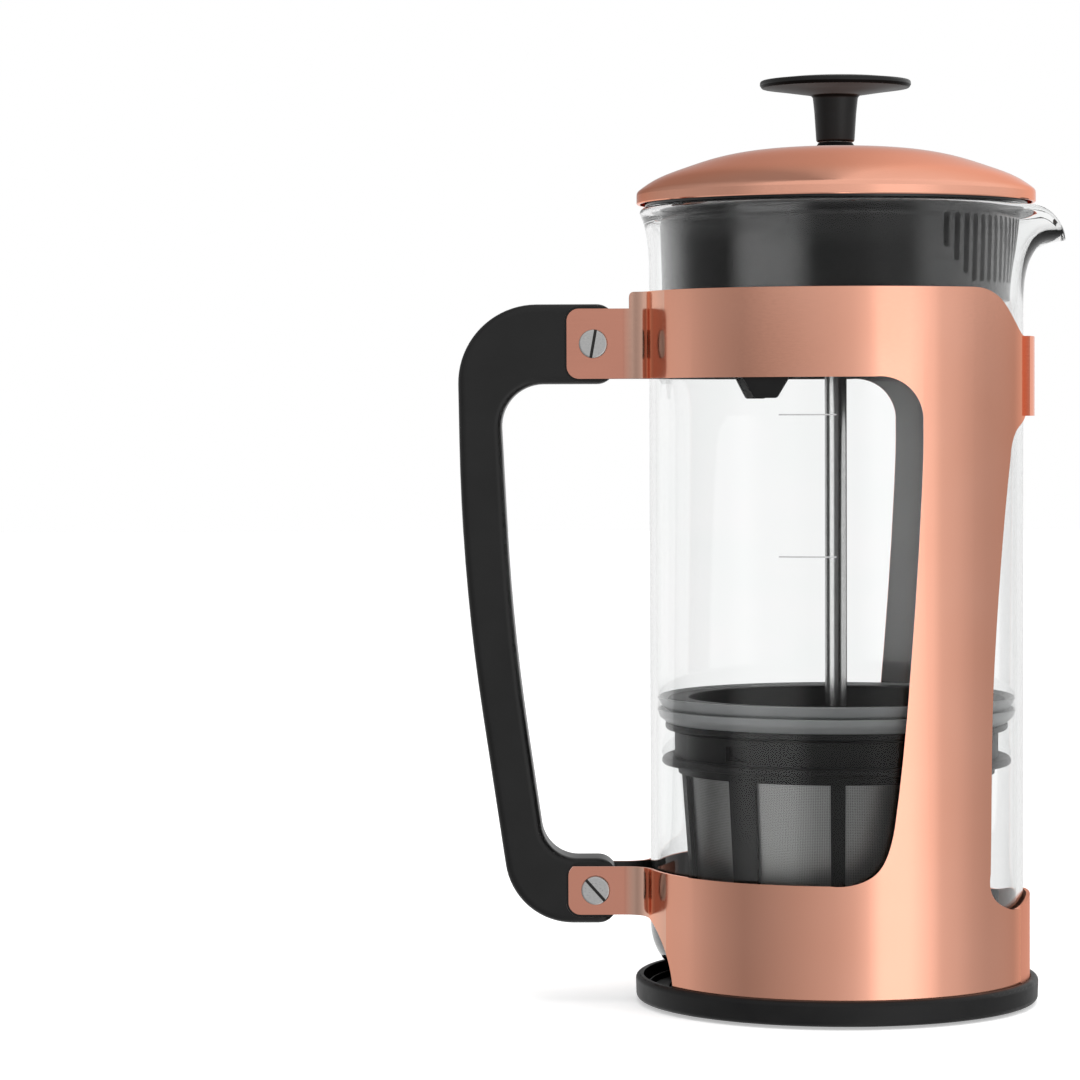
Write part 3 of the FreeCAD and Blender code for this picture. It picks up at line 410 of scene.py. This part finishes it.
# ---- the glass jar ----
GLASS_LOW, GLASS_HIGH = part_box("glass_jar")
GLASS_R = 50.0
GLASS_WALL = 1.8
GLASS_FLOOR = 3.2
GLASS_CORNER = 14.0
SPOUT_FROM_Z = 184.0
RIM_Z = GLASS_HIGH.z / MM
RIM_FLARE = 2.5
SPOUT_WIDTH = 17.0        # degrees
SPOUT_SHAPE = 2.4         # how squarely the spout leaves the round wall
SPOUT_DROP = 3.0          # how late the rim falls on its way round to the spout's tip
FLARE_HEIGHT = 17.0       # below the rim
FLARE_SHAPE = 2.2
BEAD_SHARE = 0.06         # of the way from the spout's start to the rim
BEAD = 0.4                # how far the fire-polished rim bulges on each side
LIP_HALF = 1.4            # from the last straight ring to the top of the rounded lip
FLOOR_RINGS = (0.5, 12.0, 24.0, 32.0)
RING_POINTS = 240
CORNER_STEPS = 10
WALL_STEPS = 20
SPOUT_STEPS = 26
LIP_STEPS = 8


def wall_point(share, inset):
    """(r, z) on the round wall above the spout's start, share 0 to 1."""
    z = SPOUT_FROM_Z + share * (RIM_Z - LIP_HALF - SPOUT_FROM_Z)
    start = RIM_Z - FLARE_HEIGHT
    flare = RIM_FLARE * max(0.0, (z - start) / (RIM_Z - start)) ** FLARE_SHAPE
    return Vector((GLASS_R - inset + flare, z))


def spout_point(share, inset, tip_r):
    """(r, z) along the spout's middle, share 0 to 1."""
    if inset == 0:
        steps = [(GLASS_R, SPOUT_FROM_Z), (GLASS_R, 195.0), (GLASS_R + 0.3, 203.0),
                 (56.0, 203.0), (tip_r - 0.5, 203.9)]
    else:
        inner_r = GLASS_R - inset
        steps = [(inner_r, SPOUT_FROM_Z), (inner_r, 197.0), (inner_r, 205.4), (54.0, 205.3),
                 (tip_r - 1.2, 205.8)]
    return bezier(steps, share)


def glass_ring(share, inset, tip_r):
    """One ring of the wall with the spout in it; inset is 0 outside and GLASS_WALL inside."""
    ring = []
    round_point = wall_point(share, inset)
    beak_point = spout_point(share, inset, tip_r)
    bulge = BEAD * math.exp(-((1.0 - share) / BEAD_SHARE) ** 2)
    if inset > 0:
        bulge = -bulge
    for i in range(RING_POINTS):
        angle = 2.0 * math.pi * i / RING_POINTS
        signed = math.degrees(math.atan2(math.sin(angle), math.cos(angle)))
        weight = math.exp(-abs(signed / SPOUT_WIDTH) ** SPOUT_SHAPE)
        r = round_point.x + (beak_point.x - round_point.x) * weight + bulge * (1.0 - weight)
        z = round_point.y + (beak_point.y - round_point.y) * weight ** SPOUT_DROP
        ring.append(Vector((r * math.cos(angle), r * math.sin(angle), z)) * MM)
    return ring


def plain_ring(r, z):
    turns = [2 * math.pi * i / RING_POINTS for i in range(RING_POINTS)]
    return [Vector((r * math.cos(turn), r * math.sin(turn), z)) * MM for turn in turns]


def make_glass():
    """The jar as one closed skin: up the outside, over the rim and down the inside."""
    bottom = GLASS_LOW.z / MM
    inner_bottom = bottom + GLASS_FLOOR
    tip_r = GLASS_HIGH.x / MM
    rings = []
    for r in FLOOR_RINGS:
        rings.append(plain_ring(r, bottom))
    corner_r = GLASS_R - GLASS_CORNER
    for r, z in arc(corner_r, bottom + GLASS_CORNER, GLASS_CORNER, -90, 0, CORNER_STEPS):
        rings.append(plain_ring(r, z))
    for step in range(1, WALL_STEPS):
        z = bottom + GLASS_CORNER + (SPOUT_FROM_Z - bottom - GLASS_CORNER) * step / WALL_STEPS
        rings.append(plain_ring(GLASS_R, z))
    for step in range(SPOUT_STEPS + 1):
        rings.append(glass_ring(step / SPOUT_STEPS, 0.0, tip_r))
    outer = glass_ring(1.0, 0.0, tip_r)
    inner = glass_ring(1.0, GLASS_WALL, tip_r)
    over = Vector((0, 0, LIP_HALF * MM))
    for step in range(1, LIP_STEPS):
        turn = math.pi * step / LIP_STEPS
        ring = []
        for a, b in zip(outer, inner):
            middle = (a + b) / 2.0
            half = (a - b) / 2.0
            ring.append(middle + half * math.cos(turn) + over * math.sin(turn))
        rings.append(ring)
    for step in range(SPOUT_STEPS + 1):
        rings.append(glass_ring(1.0 - step / SPOUT_STEPS, GLASS_WALL, tip_r))
    inner_corner = GLASS_CORNER - GLASS_WALL
    low = inner_bottom + inner_corner
    for step in range(1, WALL_STEPS):
        z = SPOUT_FROM_Z - (SPOUT_FROM_Z - low) * step / WALL_STEPS
        rings.append(plain_ring(GLASS_R - GLASS_WALL, z))
    for r, z in arc(corner_r, low, inner_corner, 0, -90, CORNER_STEPS):
        rings.append(plain_ring(r, z))
    for r in reversed(FLOOR_RINGS):
        rings.append(plain_ring(r, inner_bottom))
    bm = bmesh.new()
    grid_surface(bm, rings)
    finish_piece("glass_jar_blown", bm, clear_glass("clear_glass"), "jar", ("glass_jar",))


# ---- printed level lines ----
LEVEL_LINES = (157.7, 121.2)
LEVEL_AZIMUTH = -101.6    # degrees
LEVEL_STEPS = 16
LEVEL_LENGTH = 15.0
LEVEL_WIDTH = 0.35
INK_R = GLASS_R + 0.03


def make_level_lines():
    bm = bmesh.new()
    half_angle = math.degrees(LEVEL_LENGTH / GLASS_R) / 2.0
    for z in LEVEL_LINES:
        lower = []
        upper = []
        for i in range(LEVEL_STEPS + 1):
            share = i / LEVEL_STEPS
            turn = math.radians(LEVEL_AZIMUTH - half_angle + 2 * half_angle * share)
            x = INK_R * math.cos(turn)
            y = INK_R * math.sin(turn)
            lower.append(bm.verts.new(Vector((x, y, z - LEVEL_WIDTH / 2)) * MM))
            upper.append(bm.verts.new(Vector((x, y, z + LEVEL_WIDTH / 2)) * MM))
        for i in range(LEVEL_STEPS):
            bm.faces.new((lower[i], lower[i + 1], upper[i + 1], upper[i]))
    finish_piece("level_lines", bm, print_ink("level_ink"), "jar")


# ---- materials of the carried-over nodes ----
def dress_nodes():
    plate = copper("copper_plate")
    cage = copper("copper_cage", steel_inside_and_painted_tones=True)
    plastic = black_plastic("black_plastic")
    grip = black_plastic("black_knob", dull_below=True)
    bush = black_plastic("black_bush", roughness=0.5, shine=0.04)
    skirt = black_plastic("black_skirt", 0.003, 0.005, 0.2, 0.0, 0.5)
    basket = black_plastic("black_basket", 0.003, 0.005, 0.5, 0.0, 0.2)
    foot = rubber("black_rubber")
    turned = brushed_steel("turned_steel", 4.0, 4000.0, 0.58, 0.3)
    screw = brushed_steel("screw_steel", 900.0, 4000.0, 0.55, 0.32, slot_shade_below=0.0078)
    drawn = brushed_steel("drawn_steel", 300.0, 30.0, 0.40, 0.2)
    given = {
        "cage_frame": cage, "lid_cover": plate, "base_foot": foot,
        "glass_bumper_near": foot, "glass_bumper_far": foot,
        "handle": plastic, "knob": grip, "lid_bush": bush, "lid_retainer": plastic,
        "lid_skirt": skirt, "inner_filter_frame": basket, "outer_filter_frame": basket,
        "filter_hub": basket, "plunger_rod": drawn, "rod_nut": turned,
        "handle_screw_upper": screw, "handle_screw_lower": screw,
        "handle_nut_upper": screw, "handle_nut_lower": screw,
        "knob_insert": brass("brass_insert"), "lip_seal": silicone("clear_silicone"),
        "inner_mesh_wall": woven_wall("inner_cloth"), "outer_mesh_wall": woven_wall("outer_cloth"),
        "inner_mesh_floor": woven_floor("inner_floor_cloth"),
        "outer_mesh_floor": woven_floor("outer_floor_cloth")}
    for node, material in given.items():
        obj = NODES[node]
        if not obj.material_slots:
            obj.data.materials.append(material)
        for place in obj.material_slots:
            place.material = material
    # the studio is lit so that the black grips don't show in the polished copper
    for node in ("knob", "knob_insert", "plunger_rod", "lid_bush", "handle"):
        NODES[node].visible_glossy = False


# ---- studio ----
# brightness of the studio's walls by angle from the camera's side, in degrees, positive to the
# camera's right: a soft window to the right, a darker wall to the left, white behind the object
STUDIO = ((-180, 1.0), (-150, 0.95), (-122, 0.70), (-100, 0.66), (-84, 0.50), (-70, 0.40),
          (-56, 0.33), (-44, 0.38), (-26, 0.48), (0, 0.64), (10, 0.75), (18, 0.95), (26, 1.5),
          (44, 1.5), (54, 1.22), (61, 0.98), (64, 0.80), (76, 0.72), (88, 0.57), (100, 0.50),
          (130, 0.50), (152, 0.9), (180, 1.0))

# what rays leaving the glass meet: bright behind the jar, and soft panels at its left, in front
# and at its right, which show as lighter bands on the skirt
BEHIND = ((-180, 0.94), (-165, 0.94), (-148, 0.90), (-128, 1.15), (-116, 0.8), (-104, 0.15),
          (-72, 0.15), (-58, 2.5), (-28, 2.5), (-14, 0.18), (48, 0.18), (62, 1.5), (125, 1.3),
          (145, 0.84), (165, 0.94), (180, 0.94))

# the same for the ceiling, which shows mostly in the lid: darker to the left than to the right
CEILING = ((-180, 0.62), (-172, 0.48), (-166, 0.38), (-150, 0.35), (-100, 0.43), (-60, 0.54),
           (-40, 0.80), (0, 0.90), (25, 0.92), (50, 0.94), (120, 1.00), (158, 0.92), (171, 0.92),
           (180, 0.62))
CEILING_FROM = math.sin(math.radians(1.8))
CEILING_FULL = math.sin(math.radians(3.4))

STEEP_FROM, STEEP_FULL = 0.10, 0.25   # how far up or down a ray points, 0 level and 1 straight
EVEN_LEVEL = 0.85


def make_world():
    world = bpy.data.worlds.new("studio")
    bpy.context.scene.world = world
    world.use_nodes = True
    tree = world.node_tree
    tree.nodes.clear()
    link = tree.links.new

    def math_node(operation, source, *constants):
        made = tree.nodes.new("ShaderNodeMath")
        made.operation = operation
        link(source, made.inputs[0])
        for socket, value in zip(made.inputs[1:], constants):
            socket.default_value = value
        return made

    def ramp(source, stops):
        made = tree.nodes.new("ShaderNodeValToRGB")
        elements = made.color_ramp.elements
        while len(elements) < len(stops):
            elements.new(0.5)
        for element, (degrees, level) in zip(elements, stops):
            element.position = (degrees + 180.0) / 360.0
            element.color = (level, level, level, 1.0)
        link(source, made.inputs["Fac"])
        return made.outputs["Color"]

    coords = tree.nodes.new("ShaderNodeTexCoord")
    split = tree.nodes.new("ShaderNodeSeparateXYZ")
    link(coords.outputs["Generated"], split.inputs[0])
    turn = math_node("ARCTAN2", split.outputs["Y"])
    link(split.outputs["X"], turn.inputs[1])
    # angle from the direction of the camera, wrapped to 0..1 with the camera at 0.5
    camera_angle = math.atan2(-math.cos(CAMERA_AZIMUTH), -math.sin(CAMERA_AZIMUTH))
    shift = math_node("SUBTRACT", turn.outputs[0], camera_angle)
    unit = math_node("MULTIPLY_ADD", shift.outputs[0], 1.0 / (2.0 * math.pi), 0.5)
    wrap = math_node("FRACT", unit.outputs[0])
    height = tree.nodes.new("ShaderNodeMapRange")
    height.interpolation_type = "SMOOTHSTEP"
    height.inputs["From Min"].default_value = CEILING_FROM
    height.inputs["From Max"].default_value = CEILING_FULL
    link(split.outputs["Z"], height.inputs["Value"])
    joined = tree.nodes.new("ShaderNodeMix")
    joined.data_type = "RGBA"
    link(height.outputs["Result"], joined.inputs["Factor"])
    link(ramp(wrap.outputs[0], STUDIO), joined.inputs["A"])
    link(ramp(wrap.outputs[0], CEILING), joined.inputs["B"])
    lit = tree.nodes.new("ShaderNodeBackground")
    path = tree.nodes.new("ShaderNodeLightPath")
    through = tree.nodes.new("ShaderNodeMix")
    through.data_type = "RGBA"
    link(path.outputs["Is Transmission Ray"], through.inputs["Factor"])
    link(joined.outputs["Result"], through.inputs["A"])
    # steeply up or down the glass meets an even light, so that the spout stays clear
    steep = tree.nodes.new("ShaderNodeMapRange")
    steep.inputs["From Min"].default_value = STEEP_FROM
    steep.inputs["From Max"].default_value = STEEP_FULL
    link(math_node("ABSOLUTE", split.outputs["Z"]).outputs[0], steep.inputs["Value"])
    even = tree.nodes.new("ShaderNodeMix")
    even.data_type = "RGBA"
    link(steep.outputs["Result"], even.inputs["Factor"])
    link(ramp(wrap.outputs[0], BEHIND), even.inputs["A"])
    even.inputs["B"].default_value = (EVEN_LEVEL, EVEN_LEVEL, EVEN_LEVEL, 1.0)
    link(even.outputs["Result"], through.inputs["B"])
    link(through.outputs["Result"], lit.inputs["Color"])
    # the camera itself sees plain white
    seen = tree.nodes.new("ShaderNodeBackground")
    seen.inputs["Color"].default_value = (1.0, 1.0, 1.0, 1.0)
    mix = tree.nodes.new("ShaderNodeMixShader")
    link(path.outputs["Is Camera Ray"], mix.inputs["Fac"])
    link(lit.outputs[0], mix.inputs[1])
    link(seen.outputs[0], mix.inputs[2])
    out = tree.nodes.new("ShaderNodeOutputWorld")
    link(mix.outputs[0], out.inputs["Surface"])


def make_floor():
    bpy.ops.mesh.primitive_plane_add(size=8.0, location=(0, 0, -0.0001))
    floor = bpy.context.active_object
    floor.name = "floor"
    s = Shader("pale_floor")
    s.set(Base_Color=(0.93, 0.93, 0.93, 1.0), Roughness=0.9, Specular_IOR_Level=0.1)
    s.set(Emission_Color=(1.0, 1.0, 1.0, 1.0), Emission_Strength=0.42)
    floor.data.materials.append(s.material)
    floor.visible_glossy = False
    floor.visible_transmission = False


def area_light(name, size, place, target, energy):
    data = bpy.data.lights.new(name, "AREA")
    data.shape = "RECTANGLE"
    data.size, data.size_y = size
    data.energy = energy
    light = bpy.data.objects.new(name, data)
    bpy.context.scene.collection.objects.link(light)
    light.location = place
    light.rotation_euler = (Vector(target) - Vector(place)).to_track_quat("-Z", "Y").to_euler()
    light.visible_glossy = False
    light.visible_transmission = False


def make_lights():
    middle = (0.0, 0.0, 0.12)
    area_light("overhead", (1.2, 1.2), (0.1, -0.1, 1.5), middle, 9.0)
    area_light("window", (0.35, 1.2), (1.0, -0.9, 0.55), middle, 1.6)


def make_camera():
    data = bpy.data.cameras.new("camera")
    data.lens = CAMERA_LENS
    data.sensor_width = 36.0
    data.clip_start = 0.01
    data.clip_end = 50.0
    camera = bpy.data.objects.new("camera", data)
    bpy.context.scene.collection.objects.link(camera)
    ahead = Vector((math.sin(CAMERA_YAW), math.cos(CAMERA_YAW), 0))
    right = Vector((math.cos(CAMERA_YAW), -math.sin(CAMERA_YAW), 0))
    up = Vector((0, 0, 1))
    forward = math.cos(CAMERA_PITCH) * ahead - math.sin(CAMERA_PITCH) * up
    above = math.sin(CAMERA_PITCH) * ahead + math.cos(CAMERA_PITCH) * up
    level = math.cos(CAMERA_ROLL) * right + math.sin(CAMERA_ROLL) * above
    above = math.cos(CAMERA_ROLL) * above - math.sin(CAMERA_ROLL) * right
    rotation = Matrix((level, above, -forward)).transposed().to_4x4()
    place = Matrix.Translation((0, -CAMERA_DISTANCE, CAMERA_HEIGHT)) @ rotation
    camera.matrix_world = Matrix.Rotation(-CAMERA_AZIMUTH, 4, "Z") @ place
    bpy.context.scene.camera = camera


make_camera()
make_world()
make_lights()
make_floor()
dress_nodes()
make_glass()
make_level_lines()
bpy.context.scene.view_settings.view_transform = "Standard"
